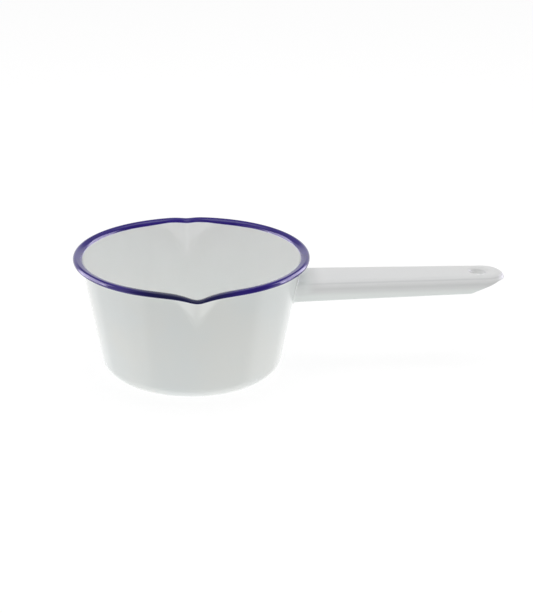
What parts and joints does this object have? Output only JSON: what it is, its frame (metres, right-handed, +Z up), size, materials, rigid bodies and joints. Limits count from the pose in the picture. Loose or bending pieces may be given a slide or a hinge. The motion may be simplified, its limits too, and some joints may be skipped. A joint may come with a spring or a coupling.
{
  "type": "milk pan",
  "caption": "Enamelled steel milk pan with a leaning wall, a rolled rim with two pouring lips, and a hollow channel handle with a hanging hole.",
  "frame": {"origin": "centre of the flat base, on the plane that the pan rests on", "axes": "+X along the handle, +Z up out of the bowl, a pouring lip at +Y and one at -Y"},
  "size_m": [0.2747, 0.1576, 0.077],
  "materials": {
    "steel": "bare low-carbon steel under the enamel",
    "weld_steel": "fused spot-weld nuggets",
    "white_enamel_outside": "glossy white vitreous enamel",
    "white_enamel_lining": "glossy white vitreous enamel",
    "white_enamel_handle": "glossy white vitreous enamel",
    "blue_enamel": "glossy cobalt blue vitreous enamel"
  },
  "bodies": {
    "root": {"bowl_pressing": "steel", "bowl_outer_enamel": "white_enamel_outside", "bowl_lining_enamel": "white_enamel_lining", "rim_enamel": "blue_enamel", "handle_pressing": "steel", "handle_enamel": "white_enamel_handle", "spot_welds": "weld_steel"}
  },
  "joints": []
}
